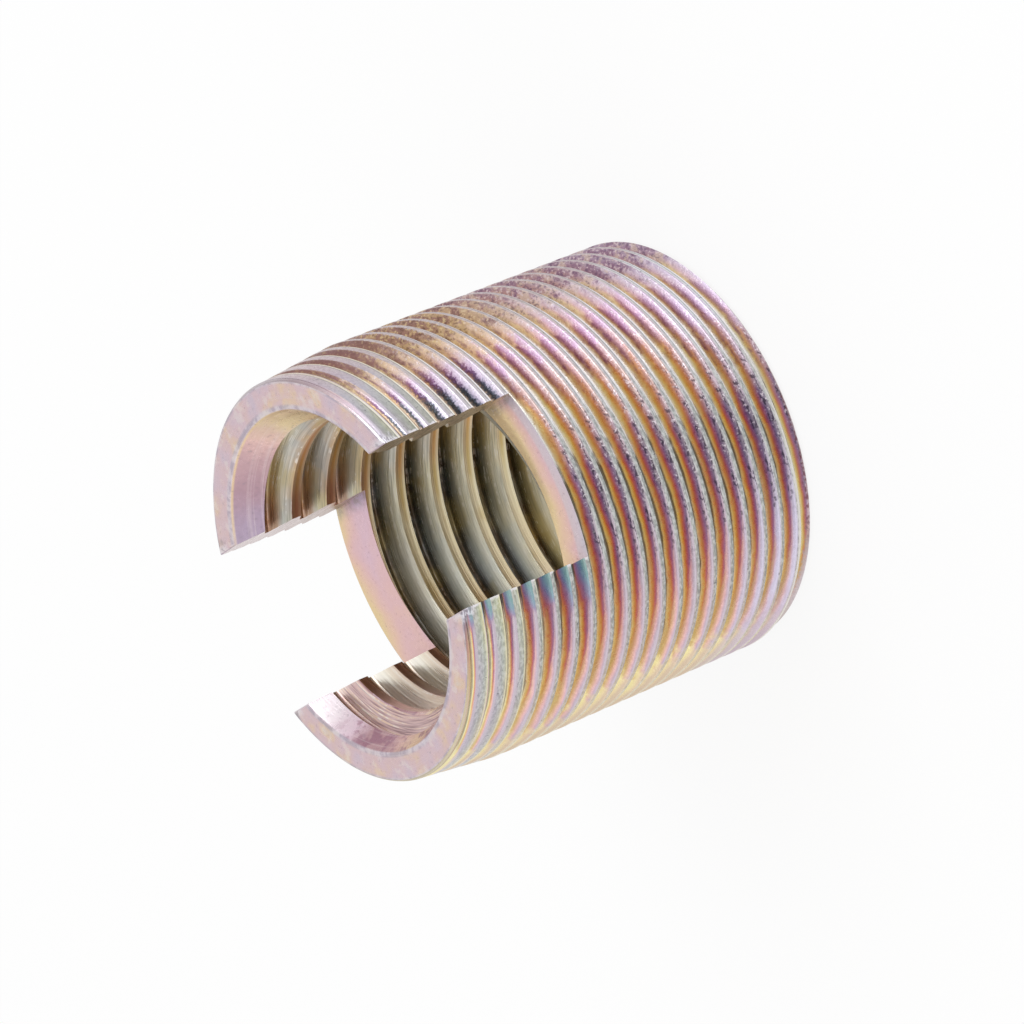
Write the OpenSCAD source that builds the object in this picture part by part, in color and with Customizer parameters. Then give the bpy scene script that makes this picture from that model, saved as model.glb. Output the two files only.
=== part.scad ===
// Slotted self-cutting threaded insert.
// One turned steel sleeve: an internal thread for a bolt, an external thread
// that taps its own way into a drilled hole, and a screwdriver-wide slot
// milled across the leading end, whose edges do the cutting.
// The insert stands on its plain end at z = 0, and the slot runs along X.
// Both threads are drawn as parallel rings of the true thread section. The
// real ridges wind right-handed, and each ring sits where the helix passes +X.

/* [Sleeve] */
// Length from the plain end to the slotted end
sleeve_length = 29.4; // [22:0.1:60]
// Solid wall between the bottoms of the two threads
core_wall = 2.18; // [1.6:0.02:4]

/* [Internal thread] */
// Diameter at the bottom of the internal groove, which is the bolt's size
inner_major_d = 24; // [20:0.5:40]
// Distance from crest to crest
inner_pitch = 3; // [2.5:0.25:3.5]
// Radial height of the thread that stands into the bore
inner_thread_height = 1.624; // [0.8:0.002:1.64]
// Width of the flat at the bottom of the internal groove
inner_root_flat = 0.375; // [0.2:0.005:0.5]
// Height of the first crest above the plain end
inner_first_crest = 2.94; // [0:0.02:3]
// Angle between the two flanks of either thread
flank_angle = 60; // [55:1:65]

/* [External thread] */
// Distance from crest to crest
outer_pitch = 1.5; // [1.25:0.25:2]
// Radial depth of the groove
outer_groove_depth = 0.82; // [0.4:0.02:0.9]
// Width of the flat at the bottom of the groove
outer_root_flat = 0.15; // [0.1:0.01:0.25]
// Height of the first crest above the plain end
outer_first_crest = 1.5; // [0.1:0.05:1.5]

/* [Ends] */
// Length of the taper that leads the external thread in
lead_taper_length = 6.2; // [3:0.1:9]
// Radius that the taper loses by the slotted end
lead_taper_drop = 0.72; // [0.3:0.02:0.78]
// Bevel around the rim of the slotted end
front_bevel = 0.12; // [0.05:0.01:0.3]
// Chamfer around the rim of the plain end
back_chamfer = 0.4; // [0.2:0.05:1.2]
// How far the mouth of each countersink stands out past the internal thread
countersink_step = 0.2; // [0.1:0.05:0.6]
// Angle of the countersink across its mouth
countersink_angle = 60; // [45:5:90]

/* [Cutting slot] */
// Width across the slot
slot_width = 12; // [6:0.5:14]
// Depth of the slot from the slotted end
slot_depth = 10.17; // [5:0.01:14]

/* [Hidden] */

$fn = 180;
clear = 1;

major_r = inner_major_d / 2;
minor_r = major_r - inner_thread_height;
inner_mouth = inner_root_flat + 2 * inner_thread_height * tan(flank_angle / 2);
inner_turns = ceil(sleeve_length / inner_pitch) + 1;

root_r = major_r + core_wall;
outer_r = root_r + outer_groove_depth;
outer_mouth = outer_root_flat + 2 * outer_groove_depth * tan(flank_angle / 2);
outer_turns = ceil(sleeve_length / outer_pitch) + 1;

front_r = outer_r - lead_taper_drop;
taper_slope = lead_taper_drop / lead_taper_length;
countersink_r = major_r + countersink_step;
countersink_depth = (countersink_r - minor_r) / tan(countersink_angle / 2);

// Half of the blank's lengthwise section: tapered lead, rim bevels, bore and
// countersinks, before either thread is cut.
module blank_section() {
    polygon([
        [countersink_r, 0],
        [outer_r - back_chamfer, 0],
        [outer_r, back_chamfer],
        [outer_r, sleeve_length - lead_taper_length],
        [front_r + taper_slope * front_bevel, sleeve_length - front_bevel],
        [front_r - front_bevel, sleeve_length],
        [countersink_r, sleeve_length],
        [minor_r, sleeve_length - countersink_depth],
        [minor_r, countersink_depth]
    ]);
}

// A V groove with a flat bottom. It is mouth wide at mouth_r, flat wide at
// bottom_r, and runs on past its mouth at the same slope to clear the blank.
module groove_section(mouth_r, mouth, bottom_r, flat) {
    way_out = mouth_r > bottom_r ? 1 : -1;
    spread = clear * tan(flank_angle / 2);
    polygon([
        [bottom_r, -flat / 2],
        [mouth_r + way_out * clear, -mouth / 2 - spread],
        [mouth_r + way_out * clear, mouth / 2 + spread],
        [bottom_r, flat / 2]
    ]);
}

// The grooves lie halfway between the crests. One lies below the first crest,
// because a crest may stand well above the plain end.
module outer_grooves() {
    for (turn = [0 : outer_turns])
        translate([0, outer_first_crest + (turn - 0.5) * outer_pitch])
            groove_section(outer_r, outer_mouth, root_r, outer_root_flat);
}

module inner_grooves() {
    for (turn = [0 : inner_turns])
        translate([0, inner_first_crest + (turn - 0.5) * inner_pitch])
            groove_section(minor_r, inner_mouth, major_r, inner_root_flat);
}

module threaded_section() {
    difference() {
        blank_section();
        outer_grooves();
        inner_grooves();
    }
}

module cutting_slot() {
    translate([-outer_r - clear, -slot_width / 2, sleeve_length - slot_depth])
        cube([2 * (outer_r + clear), slot_width, slot_depth + clear]);
}

module insert_sleeve() {
    color([0.80, 0.66, 0.56])
        difference() {
            rotate_extrude() threaded_section();
            cutting_slot();
        }
}

insert_sleeve();
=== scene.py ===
"""The looks of a slotted self-cutting threaded insert of yellow plated steel.

The sleeve stands on its plain end at the origin, with its axis along +Z and
its cutting slot along X. Both threads wind right-handed. Sizes are in metres.
"""

import math

import bmesh
import bpy
from mathutils import Matrix, Vector


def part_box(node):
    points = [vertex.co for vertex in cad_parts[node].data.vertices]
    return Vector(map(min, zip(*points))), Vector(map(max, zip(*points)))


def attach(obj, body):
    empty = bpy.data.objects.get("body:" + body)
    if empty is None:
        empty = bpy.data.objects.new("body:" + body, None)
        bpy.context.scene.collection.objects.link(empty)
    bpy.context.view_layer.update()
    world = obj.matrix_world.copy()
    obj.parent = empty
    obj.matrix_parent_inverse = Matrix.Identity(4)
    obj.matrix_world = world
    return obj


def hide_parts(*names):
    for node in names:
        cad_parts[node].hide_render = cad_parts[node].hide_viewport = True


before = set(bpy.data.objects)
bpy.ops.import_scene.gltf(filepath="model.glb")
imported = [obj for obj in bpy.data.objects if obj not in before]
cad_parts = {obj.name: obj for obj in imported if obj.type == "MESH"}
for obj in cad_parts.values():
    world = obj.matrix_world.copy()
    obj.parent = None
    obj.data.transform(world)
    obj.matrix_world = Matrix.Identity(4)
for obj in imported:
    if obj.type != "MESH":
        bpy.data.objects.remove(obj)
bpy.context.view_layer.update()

MM = 0.001

# The sleeve's outer size comes from the frame, and the rest from its design.
LOW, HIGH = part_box("insert_sleeve")
LENGTH = HIGH.z - LOW.z
CREST_R = (HIGH.x - LOW.x) / 2
FLANK_TILT = math.radians(30)

OUTER_PITCH = 1.5 * MM
OUTER_DEPTH = 0.82 * MM
OUTER_ROOT_FLAT = 0.15 * MM
OUTER_FIRST_CREST = 0.02 * MM
TAPER_LENGTH = 6.2 * MM
TAPER_DROP = 0.72 * MM

BORE_MAJOR_R = 12 * MM
BORE_THREAD_HEIGHT = 1.624 * MM
BORE_MINOR_R = BORE_MAJOR_R - BORE_THREAD_HEIGHT
BORE_PITCH = 3 * MM
BORE_CREST_FLAT = 0.75 * MM
BORE_FIRST_CREST = 2.94 * MM

BACK_CHAMFER = 0.4 * MM
RIM_ROUND = 0.25 * MM
COUNTERSINK_R = 12.2 * MM
COUNTERSINK_TILT = math.radians(30)
SLOT_WIDTH = 12 * MM
SLOT_DEPTH = 10.17 * MM
SLOT_FLOOR = LENGTH - SLOT_DEPTH

# The floor lies this far under the plain end, so the two never share a plane. It reaches
# 3 m each way, and most of the white that is seen in it is its own glow.
FLOOR_GAP = 0.01 * MM
FLOOR_REACH = 3
FLOOR_GLOW = 0.85

# Points around each turned shape, turns that each thread runs on past either end, how far
# the tools reach past the sleeve, the distance within which points are joined, and the
# sharpest bend that is still shaded smooth.
AROUND = 144
SPARE_TURNS = 3
PROUD = 1 * MM
WELD = 0.0005 * MM
CREASE = math.radians(40)


# -------------------- threads


class Nodes:
    """Adds nodes to a tree. Most calls give back the new node's output."""

    def __init__(self, tree):
        self.tree = tree

    def plug(self, value, socket):
        if isinstance(value, bpy.types.NodeSocket):
            self.tree.links.new(value, socket)
        else:
            socket.default_value = value

    def node(self, kind, values):
        made = self.tree.nodes.new(kind)
        for key, value in values.items():
            self.plug(value, made.inputs[key])
        return made

    def math(self, operation, *values):
        made = self.tree.nodes.new("ShaderNodeMath")
        made.operation = operation
        for value, socket in zip(values, made.inputs):
            self.plug(value, socket)
        return made.outputs[0]

    def add(self, a, b):
        return self.math("ADD", a, b)

    def less(self, a, b):
        return self.math("SUBTRACT", a, b)

    def times(self, a, b):
        return self.math("MULTIPLY", a, b)

    def times_add(self, a, b, c):
        return self.math("MULTIPLY_ADD", a, b, c)

    def divide(self, a, b):
        return self.math("DIVIDE", a, b)

    def stretch(self, value, start, end, low, high, easing="LINEAR"):
        """Goes from low to high while value goes from start to end, and stops there."""
        made = self.tree.nodes.new("ShaderNodeMapRange")
        made.interpolation_type = easing
        for part, socket in zip((value, start, end, low, high), made.inputs):
            self.plug(part, socket)
        return made.outputs[0]


class ThreadTree(Nodes):
    """A geometry tree with named sizes."""

    def __init__(self, name):
        super().__init__(bpy.data.node_groups.new(name, "GeometryNodeTree"))
        self.face = self.tree.interface
        self.face.new_socket("Geometry", in_out="OUTPUT", socket_type="NodeSocketGeometry")
        self.identifiers = {}
        self.inputs = self.tree.nodes.new("NodeGroupInput")

    def size(self, name, kind="NodeSocketFloat"):
        socket = self.face.new_socket(name, in_out="INPUT", socket_type=kind)
        self.identifiers[name] = socket.identifier
        return self.inputs.outputs[name]

    def sizes(self, *names):
        return [self.size(name) for name in names]


def wound_thread_tree():
    """A closed rod with a helical thread, from a grid that is wound around Z.

    Grid rows run along the helix, so that every crest edge is a row of points.
    Beyond the rod's two ends the rows shrink to the axis, which closes it.
    """
    build = ThreadTree("wound_thread")
    pitch, first_crest, root_flat = build.sizes("Pitch", "First Crest", "Root Flat")
    root_r, crest_r = build.sizes("Root Radius", "Crest Radius")
    bottom, top = build.sizes("Bottom", "Top")
    taper_start, taper_end, taper_drop = build.sizes("Taper Start", "Taper End", "Taper Drop")
    crest_round, root_round = build.sizes("Crest Round", "Root Round")
    crest_step, root_step = build.sizes("Crest Step", "Root Step")
    turns = build.size("Turns", "NodeSocketInt")
    around = build.size("Around", "NodeSocketInt")
    slope = math.tan(FLANK_TILT)
    rows = 16

    grid = build.node("GeometryNodeMeshGrid", {
        "Size X": 1.0,
        "Size Y": 1.0,
        "Vertices X": build.add(around, 1.0),
        "Vertices Y": build.times_add(turns, rows, 1.0),
    })
    place = build.node("GeometryNodeInputPosition", {})
    split = build.node("ShaderNodeSeparateXYZ", {"Vector": place.outputs[0]})
    turn_share = build.add(split.outputs["X"], 0.5)
    angle = build.times(turn_share, 2 * math.pi)
    along = build.times(build.add(split.outputs["Y"], 0.5), turns)
    whole = build.math("FLOOR", along)
    side = build.less(build.less(along, whole), 0.5)
    from_crest = build.times(build.math("ABSOLUTE", side), 2.0)

    # The middle of this vertex's own crest, at its angle around the rod.
    wound = build.add(build.less(whole, SPARE_TURNS), turn_share)
    crest_z = build.times_add(wound, pitch, first_crest)

    # Where the crest ends and the root starts, measured along Z from that middle.
    half_pitch = build.times(pitch, 0.5)
    root_edge = build.times_add(root_flat, -0.5, half_pitch)
    drop_here = build.stretch(crest_z, taper_start, taper_end, 0.0, taper_drop)
    height_here = build.less(build.less(crest_r, drop_here), root_r)
    flank = build.times(height_here, slope)
    crest_edge = build.less(root_edge, flank)
    flank_third = build.times(flank, 1 / 3)
    near_crest = build.math("MINIMUM", crest_step, flank_third)
    near_root = build.math("MINIMUM", root_step, flank_third)
    root_half = build.times(build.less(half_pitch, root_edge), 0.5)
    past_root = build.math("MINIMUM", root_step, root_half)

    # Eight rows from the middle of the crest to the middle of the root.
    flank_start = build.add(crest_edge, near_crest)
    flank_end = build.less(root_edge, near_root)
    root_rest = build.less(build.less(half_pitch, root_edge), past_root)
    steps = (
        (0, 1, build.less(crest_edge, near_crest)),
        (1, 3, build.times(near_crest, 2.0)),
        (3, 5, build.less(flank_end, flank_start)),
        (5, 6, near_root),
        (6, 7, past_root),
        (7, 8, root_rest),
    )
    offset = 0.0
    for first, last, amount in steps:
        part = build.stretch(from_crest, first / 8, last / 8, 0.0, amount)
        offset = build.add(part, offset)
    z = build.times_add(build.math("SIGN", side), offset, crest_z)

    # The section's radius there: a flank between a crest and a root, both rounded.
    drop = build.stretch(z, taper_start, taper_end, 0.0, taper_drop)
    crest = build.less(crest_r, drop)
    climb = build.divide(build.less(root_edge, offset), slope)
    ridge = build.math("SMOOTH_MIN", build.add(root_r, climb), crest, crest_round)
    radius = build.math("SMOOTH_MAX", ridge, root_r, root_round)

    # Rows beyond an end lie in its plane and shrink to the axis within one pitch.
    z_kept = build.math("MINIMUM", build.math("MAXIMUM", z, bottom), top)
    beyond = build.math("ABSOLUTE", build.less(z, z_kept))
    shrunk = build.times(radius, build.stretch(beyond, 0.0, pitch, 1.0, 0.0))

    point = build.node("ShaderNodeCombineXYZ", {
        "X": build.times(shrunk, build.math("COSINE", angle)),
        "Y": build.times(shrunk, build.math("SINE", angle)),
        "Z": z_kept,
    })
    bent = build.node("GeometryNodeSetPosition", {
        "Geometry": grid.outputs["Mesh"],
        "Position": point.outputs[0],
    })
    closed = build.node("GeometryNodeMergeByDistance", {
        "Geometry": bent.outputs[0],
        "Distance": 0.002 * MM,
    })
    real = build.node("GeometryNodeRealizeInstances", {"Geometry": closed.outputs[0]})
    dressed = build.node("GeometryNodeSetMaterial", {
        "Geometry": real.outputs[0],
        "Material": build.size("Material", "NodeSocketMaterial"),
    })
    out = build.tree.nodes.new("NodeGroupOutput")
    build.tree.links.new(dressed.outputs[0], out.inputs[0])
    return build


def wound_thread(build, name, sizes):
    """Runs the thread tree with these sizes and keeps the result as a plain mesh."""
    sizes = {
        "Bottom": -PROUD,
        "Top": LENGTH + PROUD,
        "Turns": math.ceil(LENGTH / sizes["Pitch"]) + 2 * SPARE_TURNS,
        "Around": AROUND,
        **sizes,
    }
    seed = placed(name + "_seed", bpy.data.meshes.new(name + "_seed"))
    winding = seed.modifiers.new("winding", "NODES")
    winding.node_group = build.tree
    for key, value in sizes.items():
        winding[build.identifiers[key]] = value
    return plain_copy(seed, name)


# -------------------- turned and cut shapes


def placed(name, data):
    """A new object, put into the scene."""
    made = bpy.data.objects.new(name, data)
    bpy.context.scene.collection.objects.link(made)
    return made


def plain_copy(piece, name):
    """The piece with its modifiers applied, as a new plain mesh. The piece is removed."""
    bpy.context.view_layer.update()
    graph = bpy.context.evaluated_depsgraph_get()
    mesh = bpy.data.meshes.new_from_object(piece.evaluated_get(graph))
    mesh.name = name
    made = placed(name, mesh)
    bpy.data.objects.remove(piece)
    return made


def softened(corners, pieces=4):
    """An outline of (radius, height) points, with each corner rounded by its third value."""
    points = []
    count = len(corners)
    for i, (r, z, reach) in enumerate(corners):
        corner = Vector((r, z))
        if reach == 0:
            points.append(corner)
            continue
        before = Vector(corners[(i - 1) % count][:2]) - corner
        after = Vector(corners[(i + 1) % count][:2]) - corner
        start = corner + before.normalized() * reach
        end = corner + after.normalized() * reach
        for k in range(pieces + 1):
            t = k / pieces
            points.append(start * (1 - t) ** 2 + corner * 2 * t * (1 - t) + end * t ** 2)
    return points


def turned(name, outline):
    """A closed solid of revolution. The outline starts and ends on the axis."""
    shape = bmesh.new()
    rings = []
    for point in outline:
        if point.x < WELD:
            rings.append([shape.verts.new((0, 0, point.y))] * AROUND)
            continue
        turn = [2 * math.pi * k / AROUND for k in range(AROUND)]
        rings.append(
            [shape.verts.new((point.x * math.cos(a), point.x * math.sin(a), point.y)) for a in turn],
        )
    for lower, upper in zip(rings, rings[1:]):
        for k in range(AROUND):
            n = (k + 1) % AROUND
            corners = [lower[k], lower[n], upper[n], upper[k]]
            shape.faces.new(list(dict.fromkeys(corners)))
    bmesh.ops.recalc_face_normals(shape, faces=shape.faces)
    return as_object(name, shape)


def extruded(name, outline, half_length):
    """A closed prism along X. The outline is a loop of (y, z) points."""
    shape = bmesh.new()
    near = [shape.verts.new((-half_length, p.x, p.y)) for p in outline]
    far = [shape.verts.new((half_length, p.x, p.y)) for p in outline]
    shape.faces.new(near)
    shape.faces.new(far)
    for k in range(len(outline)):
        n = (k + 1) % len(outline)
        shape.faces.new([near[k], near[n], far[n], far[k]])
    bmesh.ops.recalc_face_normals(shape, faces=shape.faces)
    return as_object(name, shape)


def as_object(name, shape):
    mesh = bpy.data.meshes.new(name)
    shape.to_mesh(mesh)
    shape.free()
    return placed(name, mesh)


def blank_outline():
    """The turned bar: a chamfer at the plain end and a rounded rim at the slotted end."""
    wide = CREST_R + PROUD
    face_r = CREST_R - TAPER_DROP
    heel_round = 0.12 * MM
    overlap = 0.01 * MM
    return softened([
        (0, 0, 0),
        (CREST_R - BACK_CHAMFER, 0, heel_round),
        (wide, BACK_CHAMFER + PROUD, 0),
        (wide, LENGTH - RIM_ROUND - overlap, 0),
        (face_r + 0.02 * MM, LENGTH - RIM_ROUND, 0),
        (face_r, LENGTH, RIM_ROUND * 0.96),
        (0, LENGTH, 0),
    ])


def countersink_outline(mouth_z, out):
    """The tool that cuts one countersink. It leaves along +Z where out is 1, and -Z where it is -1."""
    deep = (COUNTERSINK_R - BORE_MINOR_R + PROUD / 2) / math.tan(COUNTERSINK_TILT)
    return softened([
        (0, mouth_z + out * PROUD, 0),
        (COUNTERSINK_R + PROUD, mouth_z + out * PROUD, 0),
        (COUNTERSINK_R + PROUD, mouth_z + out * 0.004 * MM, 0),
        (COUNTERSINK_R, mouth_z, 0.18 * MM),
        (BORE_MINOR_R - PROUD / 2, mouth_z - out * deep, 0),
        (0, mouth_z - out * deep, 0),
    ])


def slot_outline():
    """The milling cutter's path across the slotted end, with its sharp corners eased."""
    half = SLOT_WIDTH / 2
    ease = 0.15 * MM
    return [
        Vector((-half, SLOT_FLOOR)),
        Vector((half, SLOT_FLOOR)),
        Vector((half, LENGTH - ease)),
        Vector((half + ease + PROUD, LENGTH + PROUD)),
        Vector((-half - ease - PROUD, LENGTH + PROUD)),
        Vector((-half, LENGTH - ease)),
    ]


def join_solids(piece, tool, operation):
    """Adds a Boolean that takes the tool from the piece, or keeps what both hold."""
    cut = piece.modifiers.new(tool.name, "BOOLEAN")
    cut.operation = operation
    cut.solver = "MANIFOLD"
    cut.object = tool


def threaded_sleeve():
    """The whole sleeve: the wound outer thread, cut by the blank, the bore's tools and the slot."""
    build = wound_thread_tree()
    outer_thread = wound_thread(build, "outer_thread", {
        "Pitch": OUTER_PITCH,
        "Root Radius": CREST_R - OUTER_DEPTH,
        "Crest Radius": CREST_R,
        "Root Flat": OUTER_ROOT_FLAT,
        "First Crest": OUTER_FIRST_CREST,
        "Taper Start": LENGTH - TAPER_LENGTH,
        "Taper End": LENGTH,
        "Taper Drop": TAPER_DROP,
        "Crest Round": 0.06 * MM,
        "Root Round": 0.4 * MM,
        "Crest Step": 0.035 * MM,
        "Root Step": 0.12 * MM,
    })
    bore_thread = wound_thread(build, "bore_thread", {
        "Pitch": BORE_PITCH,
        "Root Radius": BORE_MINOR_R,
        "Crest Radius": BORE_MAJOR_R,
        "Root Flat": BORE_CREST_FLAT,
        "First Crest": BORE_FIRST_CREST - BORE_PITCH / 2,
        "Taper Start": LENGTH,
        "Taper End": LENGTH + PROUD,
        "Taper Drop": 0.0,
        "Crest Round": 0.25 * MM,
        "Root Round": 0.04 * MM,
        "Crest Step": 0.1 * MM,
        "Root Step": 0.025 * MM,
    })
    blank = turned("blank", blank_outline())
    front_sink = turned("front_sink", countersink_outline(LENGTH, 1))
    back_sink = turned("back_sink", countersink_outline(0, -1))
    slot = extruded("slot_cutter", slot_outline(), CREST_R + PROUD)
    join_solids(outer_thread, blank, "INTERSECT")
    tools = (bore_thread, front_sink, back_sink, slot)
    for tool in tools:
        join_solids(outer_thread, tool, "DIFFERENCE")
    sleeve = plain_copy(outer_thread, "plated_sleeve")
    for tool in (blank, *tools):
        bpy.data.objects.remove(tool)
    return sleeve


def finish_mesh(sleeve):
    """Smooth shading with crisp edges, and one material region for each kind of surface."""
    shape = bmesh.new()
    shape.from_mesh(sleeve.data)
    bmesh.ops.remove_doubles(shape, verts=shape.verts, dist=WELD)
    bmesh.ops.dissolve_degenerate(shape, edges=shape.edges, dist=WELD)
    for face in shape.faces:
        face.smooth = True
        face.material_index = region_of(face)
    for edge in shape.edges:
        kinds = {face.material_index for face in edge.link_faces}
        edge.smooth = len(kinds) == 1 and edge.calc_face_angle(0) < CREASE
    shape.to_mesh(sleeve.data)
    shape.free()


THREAD, BORE, TURNED, MILLED = range(4)


def region_of(face):
    """Which finish a face takes: outer thread, bore, turned end or milled slot."""
    near = 0.001 * MM
    squarely = 0.9
    middle = face.calc_center_median()
    radius = math.hypot(middle.x, middle.y)
    if abs(abs(middle.y) - SLOT_WIDTH / 2) < near and abs(face.normal.y) > squarely:
        return MILLED
    if abs(middle.z - SLOT_FLOOR) < near and face.normal.z > squarely:
        return MILLED
    outward = face.normal.x * middle.x + face.normal.y * middle.y
    from_end = min(middle.z, LENGTH - middle.z)
    cone_r = COUNTERSINK_R - from_end * math.tan(COUNTERSINK_TILT)
    if outward < 0 and radius > BORE_MINOR_R - 0.01 * MM and abs(radius - cone_r) < 0.04 * MM:
        return TURNED
    if radius < BORE_MAJOR_R + 0.05 * MM and outward < 0:
        return BORE
    if abs(face.normal.z) > 0.98 and (middle.z > LENGTH - RIM_ROUND or middle.z < RIM_ROUND):
        return TURNED
    return THREAD if outward > 0 else TURNED


# -------------------- finishes


def tint(*shown):
    """A colour in percent as the eye sees it, turned into the light values that a shader takes."""
    return (*[((part / 100 + 0.055) / 1.055) ** 2.4 for part in shown], 1)


class Plating(Nodes):
    """A plated metal finish that is painted by the place on the sleeve."""

    def __init__(self, name):
        self.finish = bpy.data.materials.new(name)
        self.finish.use_nodes = True
        super().__init__(self.finish.node_tree)
        self.shader = self.tree.nodes["Principled BSDF"]
        self.shader.inputs["Metallic"].default_value = 1
        self.place = self.tree.nodes.new("ShaderNodeTexCoord").outputs["Object"]
        split = self.tree.nodes.new("ShaderNodeSeparateXYZ")
        self.plug(self.place, split.inputs[0])
        self.x, self.y, self.z = split.outputs
        self.angle = self.math("ARCTAN2", self.y, self.x)
        self.radius = self.math("SQRT", self.add(self.square(self.x), self.square(self.y)))
        # Degrees from the X axis toward +Y. Both halves count alike, so they meet with no seam.
        self.side = self.math("DEGREES", self.math("ARCTAN2", self.y, self.math("ABSOLUTE", self.x)))
        # The bore is seen across the sleeve, and its finishes count the other way.
        self.inner_side = self.times(self.side, -1.0)

    def square(self, value):
        return self.times(value, value)

    def vector(self, x, y, z):
        made = self.tree.nodes.new("ShaderNodeCombineXYZ")
        for part, socket in zip((x, y, z), made.inputs):
            self.plug(part, socket)
        return made.outputs[0]

    def clouds(self, vector, size, detail=2.0, fourth=None):
        """A cloudy pattern around one half, with blobs about size across."""
        made = self.tree.nodes.new("ShaderNodeTexNoise")
        if fourth is not None:
            made.noise_dimensions = "4D"
            self.plug(fourth, made.inputs["W"])
        self.plug(vector, made.inputs["Vector"])
        made.inputs["Scale"].default_value = 1 / size
        made.inputs["Detail"].default_value = detail
        return made.outputs["Fac"]

    def ramp(self, value, stops):
        """Colours along a value from 0 to 1. Each stop is a place and a tint, all in percent."""
        made = self.tree.nodes.new("ShaderNodeValToRGB")
        self.plug(value, made.inputs[0])
        band = made.color_ramp
        for k, (place, *shown) in enumerate(stops):
            stop = band.elements[k] if k < 2 else band.elements.new(place / 100)
            stop.position = place / 100
            stop.color = tint(*shown)
        return made.outputs[0]

    def mix(self, share, under, over, way="MIX"):
        made = self.tree.nodes.new("ShaderNodeMix")
        made.data_type = "RGBA"
        made.blend_type = way
        self.plug(share, made.inputs["Factor"])
        self.plug(under, made.inputs["A"])
        self.plug(over, made.inputs["B"])
        return made.outputs["Result"]

    def over(self, under, shown, *shares):
        """This tint laid over what is there, as far as all the shares say."""
        return self.mix(self.both(*shares), under, tint(*shown))

    def dye(self, under, shown, *shares):
        """What is there, darkened by this tint."""
        return self.mix(self.both(*shares), under, tint(*shown), "MULTIPLY")

    def blend(self, share, one, other):
        return self.mix(share, tint(*one), tint(*other))

    def ease(self, value, start, end):
        """Goes smoothly from 0 at start to 1 at end."""
        return self.stretch(value, start, end, 0.0, 1.0, "SMOOTHSTEP")

    def between(self, value, start, full, fading, end):
        """Goes from 0 at start to 1 at full, and from 1 at fading back to 0 at end."""
        return self.both(self.ease(value, start, full), self.ease(value, end, fading))

    def both(self, *shares):
        whole = shares[0]
        for share in shares[1:]:
            whole = self.times(whole, share)
        return whole

    def rest(self, share):
        """What the share leaves of one."""
        return self.stretch(share, 0, 1, 1, 0)

    def gap(self, one, other):
        return self.math("ABSOLUTE", self.less(one, other))

    def sway(self, value, pattern, reach):
        """The value, moved to and fro by a pattern."""
        return self.times_add(self.less(pattern, 0.5), reach, value)

    def wound(self, pitch, first_crest):
        """Share of a pitch down from the crest above, along a right-hand thread."""
        turns = self.divide(self.angle, 2 * math.pi)
        climbed = self.divide(self.less(self.z, first_crest), pitch)
        return self.less(1.0, self.math("FRACT", self.less(climbed, turns)))

    def helix_streaks(self, down, length, width, pitch, detail=3.0):
        """Streaks that follow a thread, with no seam where its turns meet."""
        round_once = self.times(down, 2 * math.pi)
        reach = pitch / (2 * math.pi * width)
        along = self.vector(
            self.divide(self.x, length),
            self.divide(self.y, length),
            self.times(self.math("SINE", round_once), reach),
        )
        across = self.times(self.math("COSINE", round_once), reach)
        return self.clouds(along, 1.0, detail, across)

    def finished(self, colour, roughness, height, depth):
        self.plug(colour, self.shader.inputs["Base Color"])
        self.plug(roughness, self.shader.inputs["Roughness"])
        bump = self.tree.nodes.new("ShaderNodeBump")
        bump.inputs["Strength"].default_value = 1.0
        bump.inputs["Distance"].default_value = depth
        self.plug(height, bump.inputs["Height"])
        self.plug(bump.outputs[0], self.shader.inputs["Normal"])
        return self.finish


# Colours up a flank of the outer thread, from the root at 0 to the crest at 1.
# They hold painted light too: the dark root of DEEP is painted shade, and the near-white low stops of
# GOLD and BROWN are a painted highlight from the crest edge above.
CREAM = (
    (5, 93, 89, 68), (20, 97, 93, 70), (45, 97, 92, 69), (65, 95, 87, 70), (85, 88, 79, 69),
    (100, 87, 79, 69),
)
PASTEL = (
    (10, 82, 76, 60), (28, 82, 74, 50), (45, 84, 71, 50), (60, 89, 73, 62), (75, 91, 74, 74),
    (90, 79, 70, 75), (100, 79, 74, 78),
)
DEEP = (
    (0, 46, 44, 38), (5, 75, 72, 58), (14, 91, 87, 67), (29, 89, 79, 50), (42, 85, 62, 42),
    (53, 80, 52, 53), (68, 70, 52, 64), (84, 57, 50, 60), (100, 60, 55, 59),
)
GOLD = (
    (0, 94, 94, 93), (8, 93, 93, 90), (16, 90, 88, 78), (30, 88, 81, 60), (45, 85, 70, 46),
    (60, 83, 64, 50), (75, 79, 62, 60), (88, 80, 68, 70), (100, 84, 76, 79),
)
BROWN = (
    (0, 94, 92, 88), (13, 92, 88, 76), (28, 81, 68, 50), (42, 70, 54, 52), (55, 73, 58, 63),
    (72, 79, 67, 75), (88, 83, 75, 81), (100, 84, 78, 84),
)
PALE = (
    (5, 79, 77, 74), (18, 88, 82, 64), (35, 91, 83, 66), (50, 90, 78, 71), (65, 89, 77, 79),
    (100, 85, 78, 83),
)
BRONZE = (
    (18, 81, 74, 60), (42, 78, 65, 62), (60, 77, 63, 61), (75, 76, 63, 64), (88, 75, 64, 67),
    (100, 77, 69, 70),
)
PEARL = ((30, 84, 78, 77), (60, 83, 76, 76), (100, 85, 79, 79))

# Each band after CREAM: the degrees where it starts and is full, how many degrees
# its edge leans by the crest, and its colours.
# The bands change around the sleeve partly as painted reflections: pale on the side toward -Y, darker
# and browner high on the side toward +Y.
THREAD_BANDS = (
    (-74, -66, 0, PASTEL),
    (-66, -56, 48, DEEP),
    (-6, 5, 2, GOLD),
    (15, 27, 0, BROWN),
    (38, 44, -9, PALE),
    (49, 57, 0, BRONZE),
    (76, 84, 0, PEARL),
)


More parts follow.
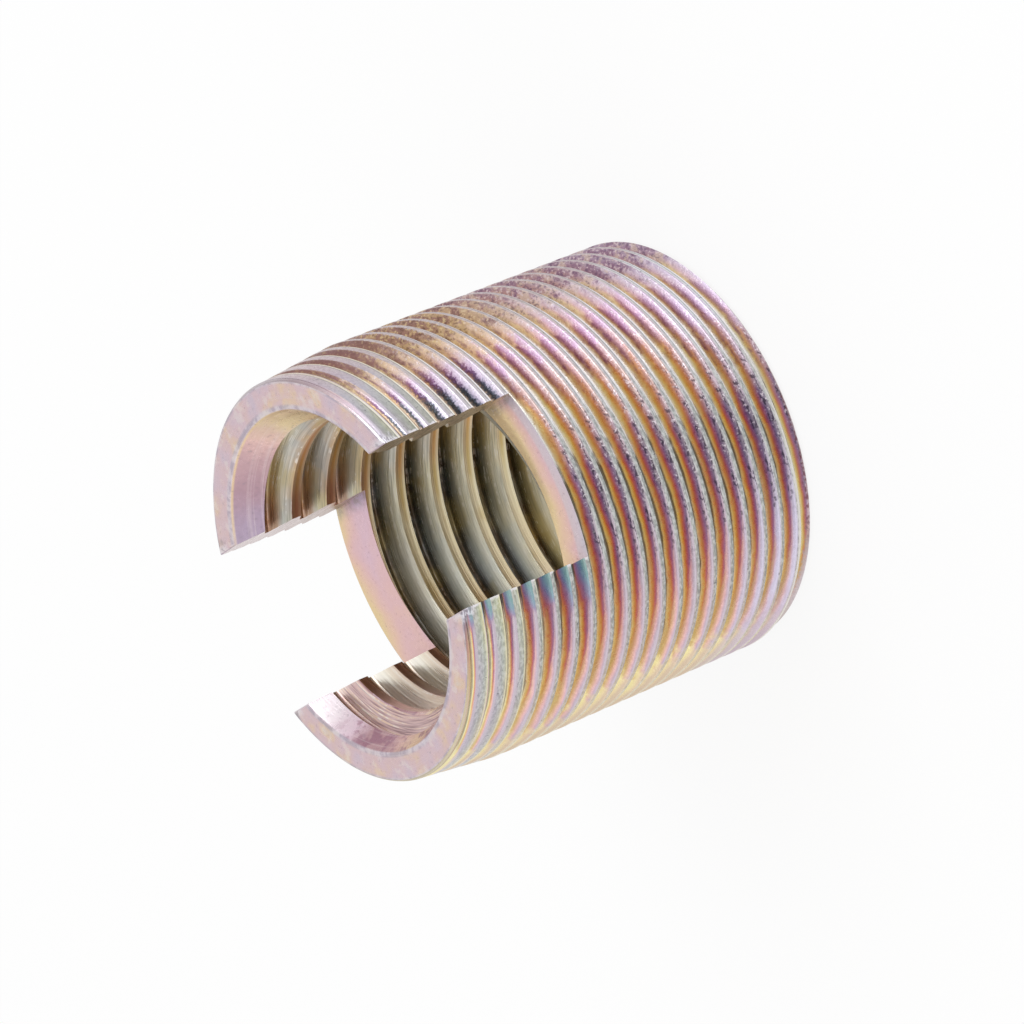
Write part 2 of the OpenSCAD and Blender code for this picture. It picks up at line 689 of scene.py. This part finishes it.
def thread_finish():
    """The outer thread: a rainbow up each flank that changes around the sleeve, partly as painted
    reflection, and grey crests.
    """
    paint = Plating("thread_plating")
    ease, both, between, clouds = paint.ease, paint.both, paint.between, paint.clouds
    over, mix, blend = paint.over, paint.mix, paint.blend
    less, times_add = paint.less, paint.times_add
    z, side, ramp, stretch = paint.z, paint.side, paint.ramp, paint.stretch
    down = paint.wound(OUTER_PITCH, OUTER_FIRST_CREST)
    upper = paint.math("GREATER_THAN", down, 0.5)
    from_root = paint.times(paint.gap(down, 0.5), OUTER_PITCH)
    # The last shallow turn keeps a groove's full range of colours.
    tapered = stretch(z, LENGTH - TAPER_LENGTH, LENGTH, 0, TAPER_DROP)
    tapered = paint.math("MINIMUM", tapered, 0.45 * MM)
    flank = paint.times(less(OUTER_DEPTH, tapered), math.tan(FLANK_TILT))
    up_flank = less(from_root, OUTER_ROOT_FLAT / 2)
    past_edge = less(up_flank, flank)

    # The colours wander up and down the flank, and differ from turn to turn.
    level = paint.times(z, 4)
    wander = clouds(paint.vector(paint.x, paint.y, level), 5 * MM)
    ripple = clouds(paint.vector(paint.x, paint.y, level), 1.2 * MM, 4)
    shift = paint.sway(-0.1, wander, 0.6)
    shift = times_add(ripple, 0.2, shift)
    toward_back = ease(z, 8 * MM, 3 * MM)
    shift = times_add(toward_back, 0.09, shift)
    rise = paint.add(paint.divide(up_flank, flank), shift)
    climb = paint.square(stretch(rise, 0, 1, 0, 1))
    drift = paint.sway(0, ripple, 24)
    in_slot = ease(z, SLOT_FLOOR - 0.2 * MM, SLOT_FLOOR + 0.2 * MM)
    below = both(ease(side, 5, -5), in_slot)
    above = both(ease(side, -5, 5), in_slot)
    around = times_add(below, 8, paint.add(side, drift))
    colour = ramp(rise, CREAM)
    for start, full, lean, stops in THREAD_BANDS:
        upright = times_add(climb, -lean, around)
        colour = mix(ease(upright, start, full), colour, ramp(rise, stops))

    bluer = both(toward_back, ease(rise, 0.3, 0.6), 0.6)
    colour = paint.dye(colour, (93, 95, 100), bluer)
    pearly = both(toward_back, ease(around, -20, -36), ease(rise, 0.62, 0.88), 0.6)
    colour = over(colour, (87, 85, 93), pearly)
    above_back = paint.rest(toward_back)
    peachy = both(between(around, 3, 12, 27, 34), ease(rise, 0.4, 0.6))
    colour = paint.dye(colour, (100, 98.5, 92.5), peachy, above_back)
    vivid = both(between(around, 28, 33, 38, 44), ease(rise, 0.28, 0.5))
    colour = paint.dye(colour, (98, 93, 100), vivid, above_back, 0.9)

    # High on each side the plating is thin and broken into small patches of gold and of a dark tone,
    # with painted glints.
    # The thread there is browner toward the front, more purple toward the plain end, and darker in
    # part as painted reflection of darker surroundings.
    flattened = paint.vector(paint.x, paint.y, paint.times(z, 2.4))
    zones = less(clouds(paint.place, 5 * MM), 0.5)
    patches = times_add(zones, 0.5, clouds(flattened, 1.1 * MM, 8))
    flecks = clouds(paint.place, 0.2 * MM, 3)
    grains = clouds(flattened, 0.3 * MM, 4)
    toward_front = ease(z, 11 * MM, 18 * MM)
    high = ease(around, 46, 58)
    browned = blend(ease(around, 60, 71), (65, 50, 36), (67, 54, 47))
    browned = over(browned, (56, 39, 36), ease(z, 21 * MM, 25 * MM))
    peach = both(between(around, 36, 44, 48, 58), toward_front, 0.6)
    colour = over(colour, (93, 81, 64), peach)
    colour = mix(both(high, toward_front, 0.7), colour, browned)
    dusky = blend(ease(rise, 0.35, 0.65), (80, 65, 60), (62, 49, 63))
    colour = mix(both(high, toward_back, 0.45), colour, dusky)
    # Painted shade darkens the high side away from the plain end.
    shaded = both(between(around, 57, 67, 76, 86), above_back)
    colour = paint.dye(colour, (92, 87, 87), shaded)
    thin = ease(around, 42, 54)
    gold = blend(toward_front, (88, 79, 70), (85, 73, 52))
    plain_front = both(high, ease(z, 21 * MM, 24 * MM))
    thin = both(thin, stretch(plain_front, 0, 1, 1, 0.35))
    colour = mix(both(thin, ease(patches, 0.52, 0.60), 0.5), colour, gold)
    dark = blend(toward_front, (57, 43, 52), (52, 38, 33))
    colour = mix(both(thin, ease(patches, 0.48, 0.39), 0.75), colour, dark)
    # Purple streaks lie farther round the sleeve toward the front.
    leaning = times_add(z, -1.3 / MM, around)
    streak = both(
        between(leaning, 2, 10, 20, 30),
        between(rise, 0.22, 0.36, 0.46, 0.62),
        ease(patches, 0.44, 0.56),
    )
    colour = over(colour, (55, 38, 47), streak, 0.65)
    # Painted glints: pale specks among the patches.
    glints = both(thin, ease(grains, 0.56, 0.62), 0.6)
    colour = mix(glints, colour, blend(toward_front, (92, 84, 84), (93, 83, 62)))
    specks = both(thin, ease(grains, 0.44, 0.38), 0.55)
    colour = mix(specks, colour, blend(toward_front, (40, 32, 42), (40, 28, 22)))
    low = both(ease(around, -56, -68), ease(z, 7 * MM, 2 * MM), 0.5)
    colour = over(colour, (77, 66, 71), low)

    # Dark pits high on the deep flanks, and bright specks there as painted glints.
    pitted = both(
        ease(around, -38, -22),
        paint.rest(below),
        ease(around, 24, 6),
        ease(rise, 0.62, 0.85),
    )
    dashes = paint.helix_streaks(down, 0.4 * MM, 0.13 * MM, OUTER_PITCH, 2)
    pits = both(pitted, ease(dashes, 0.51, 0.60), 0.75)
    colour = over(colour, (20, 17, 24), pits)
    # Painted glints: white specks where the rough plating catches light.
    glinting = both(between(around, -34, 0, 40, 62), ease(rise, 0.5, 0.9))
    painted_glints = both(glinting, ease(flecks, 0.44, 0.36), 0.75)
    colour = over(colour, (97, 93, 96), painted_glints)

    # Where the slot has cut the thread the film is thick: teal at the tips, and back through
    # blue, purple and red to the colours of the flank. On the other side the tips are slate,
    # pale and speckled white toward the crest, partly as painted highlight.
    by_slot = less(paint.math("ABSOLUTE", paint.y), SLOT_WIDTH / 2)
    ragged = paint.sway(by_slot, ripple, -1.6 * MM)
    shorter = stretch(z, 21 * MM, 28 * MM, 1, 1.8)
    near_tip = ease(paint.times(ragged, shorter), 3.8 * MM, -0.3 * MM)
    root_to_crest = paint.math("POWER", stretch(rise, 0, 1, 0, 1), 0.45)
    film = both(root_to_crest, times_add(near_tip, 0.52, 0.42))
    teal = ramp(film, (
        (8, 60, 52, 46), (22, 86, 66, 46), (34, 80, 55, 51), (46, 73, 57, 66), (58, 64, 62, 72),
        (70, 59, 67, 73), (84, 55, 68, 68), (96, 66, 74, 72),
    ))
    colour = mix(both(below, ease(near_tip, 0.05, 0.34)), colour, teal)
    speckled = paint.sway(rise, flecks, 1.1)
    slate = ramp(speckled, (
        (0, 72, 62, 52), (12, 42, 38, 40), (32, 25, 30, 32), (50, 40, 46, 52), (64, 80, 79, 85),
        (85, 85, 82, 88), (100, 78, 76, 80),
    ))
    purple = ramp(speckled, (
        (0, 82, 68, 50), (15, 62, 46, 44), (34, 46, 33, 48), (52, 60, 47, 62), (68, 87, 80, 88),
        (100, 84, 80, 86),
    ))
    slate = mix(ease(ragged, 2.8 * MM, 1.4 * MM), purple, slate)
    colour = mix(both(above, ease(ragged, 5.2 * MM, 2.4 * MM), 0.9), colour, slate)

    # Worn crests: mottled, darker toward their lower edge as painted shade, and smooth and green where
    # they are wide.
    across = paint.math("WRAP", down, 0.5, -0.5)
    share = stretch(side, -90, 90, 0, 1)
    crest = ramp(share, (
        (6, 85, 80, 66), (14, 76, 70, 64), (22, 72, 68, 66), (36, 75, 75, 74), (50, 75, 75, 75),
        (62, 79, 77, 78), (74, 81, 76, 75), (82, 77, 71, 71), (89, 74, 66, 67), (96, 80, 73, 74),
    ))
    blue = both(between(side, 8, 26, 48, 66), toward_back, 0.8)
    lilac = both(ease(side, -12, -26), ease(across, 0.02, -0.10), toward_back, 0.7)
    crest = over(crest, (88, 89, 91), blue)
    crest = over(crest, (88, 86, 92), lilac)
    middle = between(around, -62, -46, 8, 26)
    # Painted shade on the lower part of each crest.
    crest = over(crest, (56, 60, 56), ease(across, -0.05, 0.09), middle, 0.55)
    wide = ease(z, LENGTH - TAPER_LENGTH, LENGTH - 3 * MM)
    mottled = paint.sway(across, wander, 0.5)
    front_crest = ramp(stretch(mottled, -0.4, 0.4, 0, 1), (
        (0, 74, 70, 76), (30, 75, 76, 76), (55, 75, 79, 73), (80, 81, 82, 68), (100, 88, 84, 70),
    ))
    lilac_side = ease(side, 30, 55)
    front_crest = over(front_crest, (80, 74, 80), lilac_side, 0.7)
    front_tone = ramp(share, (
        (17, 95, 90, 98), (25, 99, 96, 100), (31, 100, 97.5, 97), (34, 100, 97.5, 91),
        (65, 86, 84, 83), (70, 91, 90, 92), (75, 96, 96, 100), (81, 95, 92, 93), (88, 98, 91, 90),
    ))
    front_crest = mix(1, front_crest, front_tone, "MULTIPLY")
    crest = mix(both(wide, 0.85), crest, front_crest)
    worn = clouds(flattened, 0.34 * MM, 5)
    rubbed = stretch(wide, 0, 1, 0.4, 0.3)
    rubbed = both(rubbed, stretch(middle, 0, 1, 0.4, 1))
    crest = over(crest, (50, 50, 52), ease(worn, 0.50, 0.62), rubbed)
    crest = over(crest, (90, 90, 90), ease(worn, 0.50, 0.40), rubbed)
    crest = over(crest, (30, 30, 33), ease(flecks, 0.66, 0.70), 0.6)
    lead = ease(z, LENGTH - TAPER_LENGTH - 2 * MM, LENGTH - TAPER_LENGTH + 2 * MM)
    in_crest = times_add(upper, -0.09 * MM, past_edge)
    in_crest = times_add(both(lead, upper), -0.08 * MM, in_crest)
    topmost = both(ease(side, 44, 58), ease(z, 16 * MM, 20 * MM))
    in_crest = times_add(topmost, 0.1 * MM, in_crest)
    tooth = times_add(thin, 0.16 * MM, 0.12 * MM)
    uneven = paint.add(both(less(flecks, 0.5), tooth), in_crest)
    # A thin white line along each slot edge is the painted highlight of the burr there.
    burr_highlight = paint.sway(by_slot, flecks, 0.4 * MM)
    crest = over(crest, (96, 94, 96), in_slot, ease(burr_highlight, 0.20 * MM, 0.08 * MM), 0.75)
    colour = mix(ease(uneven, -0.03 * MM, 0.03 * MM), colour, crest)
    lower = less(1, upper)
    from_line = paint.gap(past_edge, 0.05 * MM)
    line = both(ease(from_line, 0.08 * MM, 0.04 * MM), lower)
    # Painted shade: a dark line on the hidden flank just under each crest.
    from_shade_line = paint.gap(past_edge, 0.15 * MM)
    shade_line = both(ease(from_shade_line, 0.05 * MM, 0.02 * MM), lower)
    colour = over(colour, (45, 47, 50), shade_line, ease(around, 10, 24), 0.5)
    # Painted highlight along each crest's lower edge: white in the middle zone, cream on the lead
    # turns.
    edge_glint_zone = both(between(around, 2, 16, 38, 54), 0.9)
    colour = over(colour, (97, 96, 97), line, edge_glint_zone)
    colour = over(colour, (95, 92, 78), line, lead, 0.5)
    warm = both(lead, ease(up_flank, 0.14 * MM, 0.02 * MM), ease(near_tip, 0.6, 0.2), 0.3)
    colour = over(colour, (93, 89, 76), warm, ease(side, 5, -5))
    # Painted shade in the roots close to the slot.
    slot_root_shade = both(ease(ragged, 1.2 * MM, 0.3 * MM), ease(up_flank, 0.06 * MM, 0), below, 0.8)
    colour = over(colour, (28, 27, 26), slot_root_shade)
    # Near the plain end the hidden lower flanks are painted pale, so the flanks facing them show a
    # painted pale reflection.
    pale_for_reflection = both(lower, ease(z, 1.6 * MM, 1.3 * MM), 0.8)
    colour = over(colour, (92, 90, 88), pale_for_reflection)
    # Around the slotted end's rim, and silver where a corner of a prong is rubbed.
    front_rim = ramp(share, (
        (8, 80, 75, 65), (19, 77, 71, 61), (25, 76, 68, 51), (30, 73, 59, 51), (34.5, 56, 50, 54),
        (65.5, 90, 88, 92), (70, 96, 91, 95), (75, 90, 82, 86), (81, 76, 69, 73), (87, 72, 66, 69),
        (95, 79, 76, 78),
    ))
    on_rim = ease(times_add(flecks, 0.16 * MM, z), LENGTH - 0.34 * MM, LENGTH - 0.2 * MM)
    colour = mix(both(on_rim, 0.8), colour, front_rim)
    corner = both(ease(z, LENGTH - 1.3 * MM, LENGTH - 0.5 * MM), ease(ragged, 0.9 * MM, 0.2 * MM))
    silver = blend(ease(grains, 0.42, 0.54), (62, 60, 64), (93, 92, 95))
    colour = mix(both(corner, 0.8), colour, silver)
    rim = ease(times_add(grains, 0.5 * MM, z), 0.62 * MM, 0.46 * MM)
    rust = blend(ease(grains, 0.40, 0.60), (52, 33, 36), (84, 74, 74))
    rust = over(rust, (78, 74, 74), ease(side, -36, -52))
    colour = mix(both(rim, 0.8), colour, rust)

    roughness = stretch(worn, 0.35, 0.65, 0.24, 0.40)
    return paint.finished(colour, roughness, flecks, 0.012 * MM)


# Colours up a flank of the bore thread, from the root at 0 to the crest at 1.
# Their dark roots are painted shade of the grooves.
BORE_DARK = (
    (0, 42, 37, 32), (14, 49, 48, 45), (26, 63, 63, 59), (38, 72, 72, 68), (50, 78, 77, 72),
    (75, 81, 78, 69), (95, 81, 76, 63),
)
BORE_GREY = (
    (0, 46, 40, 33), (14, 57, 56, 55), (22, 71, 72, 73), (32, 81, 83, 83), (50, 86, 88, 86),
    (75, 87, 86, 82), (95, 82, 79, 70),
)
BORE_OLIVE = (
    (0, 54, 46, 37), (12, 76, 68, 53), (22, 84, 75, 60), (40, 80, 75, 64), (55, 80, 77, 70),
    (75, 81, 76, 69), (95, 76, 66, 56),
)
BORE_GOLD = (
    (0, 60, 53, 45), (12, 78, 73, 61), (25, 84, 79, 67), (50, 79, 77, 71), (75, 79, 74, 68),
    (95, 76, 65, 52),
)
BORE_CREAM = ((0, 86, 80, 74), (15, 96, 94, 90), (50, 97, 95, 90), (75, 93, 88, 81), (95, 86, 79, 72))


def bore_finish():
    """The bore thread: golden crests over grooves darkened by painted shade, with the tool's streaks
    along the flanks.
    """
    paint = Plating("bore_plating")
    ease, both, over, ramp, z = paint.ease, paint.both, paint.over, paint.ramp, paint.z
    down = paint.wound(BORE_PITCH, BORE_FIRST_CREST)
    from_root = paint.times(paint.gap(down, 0.5), BORE_PITCH)
    flank = BORE_THREAD_HEIGHT * math.tan(FLANK_TILT)
    root_half = BORE_PITCH / 2 - BORE_CREST_FLAT / 2 - flank
    rise = paint.divide(paint.less(from_root, root_half), flank)
    streaks = paint.helix_streaks(down, 9 * MM, 0.12 * MM, BORE_PITCH)
    fine = paint.helix_streaks(down, 3 * MM, 0.05 * MM, BORE_PITCH, 5)
    cloud = paint.clouds(paint.place, 3 * MM)
    moved = paint.sway(rise, cloud, 0.3)
    around = paint.sway(paint.inner_side, cloud, 14)
    colour = ramp(moved, BORE_OLIVE)
    colour = paint.mix(ease(around, -42, -34), colour, ramp(moved, BORE_DARK))
    colour = paint.mix(ease(around, -46, -56), colour, ramp(moved, BORE_GOLD))
    colour = paint.mix(ease(around, -14, 14), colour, ramp(moved, BORE_GREY))
    in_slot = ease(z, SLOT_FLOOR - 0.5 * MM, SLOT_FLOOR + 0.5 * MM)
    prong = paint.times(in_slot, 22)
    cream = ease(paint.add(around, prong), 28, 44)
    colour = paint.mix(cream, colour, ramp(moved, BORE_CREAM))

    # Golden and bluish stains, and rougher mauve plating on the first turn below the mouth.
    worn = paint.clouds(paint.place, 0.5 * MM, 6)
    inner = ease(around, 34, 20)
    stain = paint.clouds(paint.vector(paint.x, paint.y, paint.times(z, 1.6)), 4 * MM, 3)
    colour = over(colour, (78, 71, 48), inner, ease(stain, 0.50, 0.62), 0.45)
    colour = over(colour, (66, 71, 75), inner, ease(stain, 0.48, 0.38), 0.35)
    mauve = ramp(fine, ((36, 58, 42, 46), (50, 84, 71, 72), (64, 92, 80, 70)))
    first_turn = both(ease(z, 23.8 * MM, 25.2 * MM), ease(around, 22, 36), 0.85)
    colour = paint.mix(first_turn, colour, mauve)

    # High in the bore the roots are darker, and farther in they are darker and browner, both as
    # painted shade.
    # The upper flanks and the groove just under the slot's floor are lighter as painted light.
    high_up = ease(paint.inner_side, -4, -22)
    high_root_shade = both(high_up, ease(rise, 0.62, 0.36), ease(z, 16.2 * MM, 15.2 * MM))
    colour = paint.dye(colour, (84, 84, 83), high_root_shade)
    deep_bore_shade = both(inner, ease(z, 9 * MM, 6.5 * MM))
    colour = paint.dye(colour, (97, 90, 74), deep_bore_shade)
    lit = both(inner, ease(rise, 0.45, 0.75), ease(z, 19.6 * MM, 18.6 * MM), 0.45)
    colour = over(colour, (94, 94, 88), lit)
    # Painted light on the groove just under the slot's floor.
    lit_open_groove = both(
        ease(paint.inner_side, -18, -4),
        paint.between(z, 16.2 * MM, 16.9 * MM, 19 * MM, 19.6 * MM),
        ease(rise, 0, 0.14),
        0.6,
    )
    colour = over(colour, (85, 83, 78), lit_open_groove)
    bright = both(ease(streaks, 0.54, 0.68), ease(rise, 0.2, 0.6), 0.45)
    colour = over(colour, (94, 93, 90), bright)
    dull = both(ease(fine, 0.50, 0.36), inner, 0.4)
    colour = over(colour, (50, 49, 45), dull)
    scratches = both(ease(fine, 0.55, 0.62), ease(worn, 0.46, 0.58), 0.6)
    colour = over(colour, (96, 95, 94), scratches)
    share = paint.stretch(around, -90, 90, 0, 1)
    crest = ramp(share, (
        (10, 84, 67, 42), (19, 90, 72, 46), (27, 84, 68, 48), (33, 86, 79, 58), (42, 92, 87, 73),
        (60, 90, 83, 69), (72, 93, 85, 79), (86, 88, 80, 77),
    ))
    crest = over(crest, (80, 70, 46), ease(stain, 0.50, 0.62), inner, 0.5)
    crest = over(crest, (93, 91, 82), high_up, ease(rise, 1.36, 1.10), 0.5)
    by_slot = paint.less(paint.math("ABSOLUTE", paint.y), SLOT_WIDTH / 2)
    reddened = both(in_slot, ease(by_slot, 3.2 * MM, 0.4 * MM), 0.85)
    crest = over(crest, (66, 44, 38), reddened)
    bronzed = both(in_slot, ease(by_slot, 3 * MM, 0.4 * MM), ease(paint.inner_side, -10, -30))
    bronzed = both(bronzed, ease(moved, 0.62, 0.30), 0.6)
    colour = over(colour, (76, 56, 42), bronzed)
    crest = over(crest, (68, 60, 46), ease(fine, 0.52, 0.62), 0.3)
    colour = paint.mix(ease(rise, 0.97, 1.03), colour, crest)
    roughness = paint.stretch(streaks, 0.35, 0.65, 0.26, 0.42)
    height = paint.times_add(fine, 0.5, streaks)
    return paint.finished(colour, roughness, height, 0.02 * MM)


def turned_finish():
    """End faces and countersinks: pink and peach plating over fine turning marks."""
    paint = Plating("turned_plating")
    ease, both, over = paint.ease, paint.both, paint.over
    cloud = paint.clouds(paint.place, 2.2 * MM, 5)
    rings = paint.vector(
        paint.divide(paint.x, 12 * MM),
        paint.divide(paint.y, 12 * MM),
        paint.divide(paint.radius, 0.07 * MM),
    )
    marks = paint.clouds(rings, 1, 3)
    flecks = paint.clouds(paint.place, 0.3 * MM, 4)
    face = paint.ramp(cloud, (
        (32, 84, 77, 82), (44, 87, 77, 80), (54, 88, 77, 77), (64, 91, 80, 71), (72, 88, 82, 78),
    ))
    from_end = paint.math("MINIMUM", paint.z, paint.less(LENGTH, paint.z))
    rims = paint.math("MAXIMUM",
        ease(paint.radius, COUNTERSINK_R + 0.45 * MM, COUNTERSINK_R + 0.2 * MM),
        ease(paint.radius, CREST_R - TAPER_DROP - 0.35 * MM, CREST_R - TAPER_DROP - 0.15 * MM),
    )
    rubs = paint.clouds(paint.place, 0.9 * MM, 8)
    scuffed = paint.blend(ease(rubs, 0.42, 0.56), (70, 67, 73), (86, 83, 86))
    face = paint.mix(paint.times(rims, 0.75), face, scuffed)
    # Inside each countersink: lilac, pink and brown around it, with a painted highlight in its
    # near-white lilac, and gold along its mouth.
    drift = paint.sway(0, cloud, 18)
    share = paint.stretch(paint.add(paint.inner_side, drift), -90, 90, 0, 1)
    sink = paint.ramp(share, (
        (3, 89, 79, 68), (8, 87, 73, 70), (14, 77, 64, 65), (22, 69, 57, 61), (31, 68, 61, 69),
        (72, 88, 84, 86), (78, 90, 80, 85), (83, 76, 62, 64), (89, 75, 60, 62), (94, 83, 68, 65),
        (98, 90, 79, 66),
    ))
    mouth = both(
        ease(paint.radius, COUNTERSINK_R - 0.16 * MM, COUNTERSINK_R - 0.08 * MM),
        ease(paint.inner_side, -24, -36),
        0.7,
    )
    sink = over(sink, (90, 80, 62), mouth)
    from_top = paint.gap(paint.math("DEGREES", paint.angle), 74)
    golden_top = ease(paint.add(from_top, drift), 24, 12)
    sink = over(sink, (93, 85, 66), golden_top, 0.85)
    blotched = both(ease(paint.inner_side, 40, 54), ease(rubs, 0.52, 0.40), 0.7)
    sink = over(sink, (62, 44, 52), blotched)
    colour = paint.mix(ease(from_end, 0.03 * MM, 0.12 * MM), face, sink)
    scuffs = paint.times(ease(flecks, 0.60, 0.72), 0.35)
    colour = over(colour, (58, 54, 58), scuffs)
    on_face = ease(from_end, 0.12 * MM, 0.03 * MM)
    rubbed = both(on_face, ease(rubs, 0.55, 0.66), 0.4)
    colour = over(colour, (94, 90, 87), rubbed)
    silver = paint.blend(ease(rubs, 0.44, 0.54), (58, 56, 60), (93, 92, 94))
    by_slot = paint.less(paint.math("ABSOLUTE", paint.y), SLOT_WIDTH / 2)
    strewn = paint.sway(by_slot, rubs, 1.6 * MM)
    corner = both(
        on_face,
        ease(strewn, 0.8 * MM, 0.2 * MM),
        ease(paint.radius, CREST_R - 2.2 * MM, CREST_R - 1.3 * MM),
        0.75,
    )
    colour = paint.mix(corner, colour, silver)
    colour = over(colour, (92, 86, 86), paint.times(ease(marks, 0.5, 0.7), 0.3))
    roughness = paint.stretch(flecks, 0.35, 0.65, 0.26, 0.40)
    height = paint.times_add(flecks, 0.5, marks)
    return paint.finished(colour, roughness, height, 0.008 * MM)


def milled_finish():
    """The slot's floor and walls: pink and peach plating over straight cutter marks."""
    paint = Plating("milled_plating")
    ease, both, over = paint.ease, paint.both, paint.over
    cloud = paint.clouds(paint.place, 4.5 * MM, 2)
    lengthwise = paint.vector(
        paint.divide(paint.x, 6 * MM),
        paint.divide(paint.y, 0.12 * MM),
        paint.divide(paint.z, 0.12 * MM),
    )
    marks = paint.clouds(lengthwise, 1, 3)
    flecks = paint.clouds(paint.place, 0.3 * MM, 4)
    # The tones run across each floor: golden, pink, then lilac, toward +X.
    across = paint.stretch(paint.radius, BORE_MAJOR_R, CREST_R, 0, 1)
    near_side = paint.math("GREATER_THAN", paint.x, 0)
    far_side = paint.math("LESS_THAN", paint.x, 0)
    order = paint.add(both(near_side, across), both(far_side, paint.rest(across), 0.66))
    order = paint.sway(order, cloud, 1.2)
    colour = paint.ramp(order, (
        (5, 94, 84, 66), (28, 94, 80, 72), (50, 92, 77, 77), (75, 90, 77, 82), (95, 86, 80, 86),
    ))
    rough_rim = both(ease(paint.radius, CREST_R - 1.3 * MM, CREST_R - 0.9 * MM), near_side, 0.6)
    colour = over(colour, (84, 82, 84), rough_rim)
    # The floor is darker and olive near the bore's edge.
    olive_by_bore = both(
        ease(paint.radius, BORE_MAJOR_R + 0.9 * MM, BORE_MAJOR_R + 0.1 * MM),
        ease(paint.y, -4 * MM, 1 * MM),
        ease(paint.x, 0, 5 * MM),
        0.7,
    )
    colour = over(colour, (72, 62, 47), olive_by_bore)
    walls = ease(paint.math("ABSOLUTE", paint.y), SLOT_WIDTH / 2 - 0.05 * MM, SLOT_WIDTH / 2)
    pale = paint.ramp(marks, ((35, 66, 58, 56), (50, 85, 79, 79), (65, 94, 90, 91)))
    colour = paint.mix(walls, colour, pale)
    # The walls are duller toward the floor, and browner and blotched on the side of +X. The
    # floor is greyer along the wall on the side of +Y.
    blotches = paint.clouds(paint.place, 0.6 * MM, 6)
    dull = both(walls, ease(paint.z, SLOT_FLOOR + 8 * MM, SLOT_FLOOR), far_side)
    colour = paint.dye(colour, (87, 84, 79), dull)
    brown_wall = both(walls, near_side)
    colour = paint.dye(colour, (100, 97, 86), brown_wall)
    colour = over(colour, (56, 48, 38), brown_wall, ease(blotches, 0.50, 0.40), 0.45)
    colour = over(colour, (96, 90, 80), brown_wall, ease(blotches, 0.56, 0.66), 0.5)
    beside = both(ease(paint.y, 4.8 * MM, 5.8 * MM), paint.rest(walls))
    colour = paint.dye(colour, (88, 91, 95), beside)
    colour = over(colour, (66, 60, 58), beside, ease(blotches, 0.52, 0.42), 0.5)
    scuffs = paint.times(ease(flecks, 0.62, 0.74), 0.35)
    colour = over(colour, (60, 52, 58), scuffs)
    roughness = paint.stretch(flecks, 0.35, 0.65, 0.26, 0.42)
    height = paint.times_add(flecks, 0.5, marks)
    return paint.finished(colour, roughness, height, 0.008 * MM)


# -------------------- floor, light and camera


def pale_floor():
    """A wide white floor that keeps the sleeve's soft shadow."""
    shape = bmesh.new()
    bmesh.ops.create_grid(shape, x_segments=1, y_segments=1, size=FLOOR_REACH)
    floor = as_object("floor", shape)
    floor.location.z = -FLOOR_GAP
    finish = bpy.data.materials.new("white_floor")
    finish.use_nodes = True
    build = Nodes(finish.node_tree)
    shader = build.tree.nodes["Principled BSDF"]
    shader.inputs["Base Color"].default_value = (0.9, 0.9, 0.9, 1)
    shader.inputs["Roughness"].default_value = 0.8
    glow = build.node("ShaderNodeEmission", {"Color": (1, 1, 1, 1)})
    path = build.node("ShaderNodeLightPath", {})
    seen = build.math("MAXIMUM", path.outputs["Is Camera Ray"], path.outputs["Is Glossy Ray"])
    blend = build.node("ShaderNodeMixShader", {
        0: build.times(seen, FLOOR_GLOW),
        1: shader.outputs[0],
        2: glow.outputs[0],
    })
    build.plug(blend.outputs[0], build.tree.nodes["Material Output"].inputs["Surface"])
    floor.data.materials.append(finish)


def soft_lamp(name, place, size, power, aim=Vector((0, 0, 0.015))):
    """A flat lamp that faces the sleeve and is not seen itself."""
    lamp = bpy.data.lights.new(name, "AREA")
    lamp.shape = "RECTANGLE"
    lamp.size, lamp.size_y = size
    lamp.energy = power
    holder = placed(name, lamp)
    holder.location = place
    holder.rotation_euler = (Vector(place) - aim).to_track_quat("Z", "Y").to_euler()
    holder.visible_camera = False


def studio():
    """White all around, with two soft lamps."""
    world = bpy.data.worlds.new("studio")
    world.use_nodes = True
    back = world.node_tree.nodes["Background"]
    back.inputs["Color"].default_value = (1, 1, 1, 1)
    back.inputs["Strength"].default_value = 0.85
    bpy.context.scene.world = world
    soft_lamp("high_side", place=(0.20, 0.36, 0.42), size=(0.4, 0.4), power=0.95)
    soft_lamp("low_side", place=(0, -0.7, 0.3), size=(1.4, 1.0), power=1.2)


def camera():
    """Aimed at the middle of the sleeve, from above its slotted end, and turned on its side."""
    azimuth = math.radians(-5.36)
    height = math.radians(32.39)
    roll = math.radians(-112.25)
    distance = 0.3756
    middle = Vector((-0.01 * MM, -0.09 * MM, 14.4 * MM))
    lens = bpy.data.cameras.new("camera")
    lens.sensor_width = 36
    lens.lens = 192.44
    flat = math.cos(height)
    away = Vector((flat * math.cos(azimuth), flat * math.sin(azimuth), math.sin(height)))
    aimed = away.to_track_quat("Z", "Y").to_matrix().to_4x4()
    turned_by = Matrix.Rotation(roll, 4, "Z")
    holder = placed("camera", lens)
    holder.matrix_world = Matrix.Translation(middle + away * distance) @ aimed @ turned_by
    bpy.context.scene.camera = holder


# -------------------- the scene


sleeve = threaded_sleeve()
sleeve.data.materials.clear()
for finish in (thread_finish(), bore_finish(), turned_finish(), milled_finish()):
    sleeve.data.materials.append(finish)
finish_mesh(sleeve)

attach(sleeve, "root")
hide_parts("insert_sleeve")

pale_floor()
studio()
camera()
bpy.context.scene.view_settings.view_transform = "Standard"
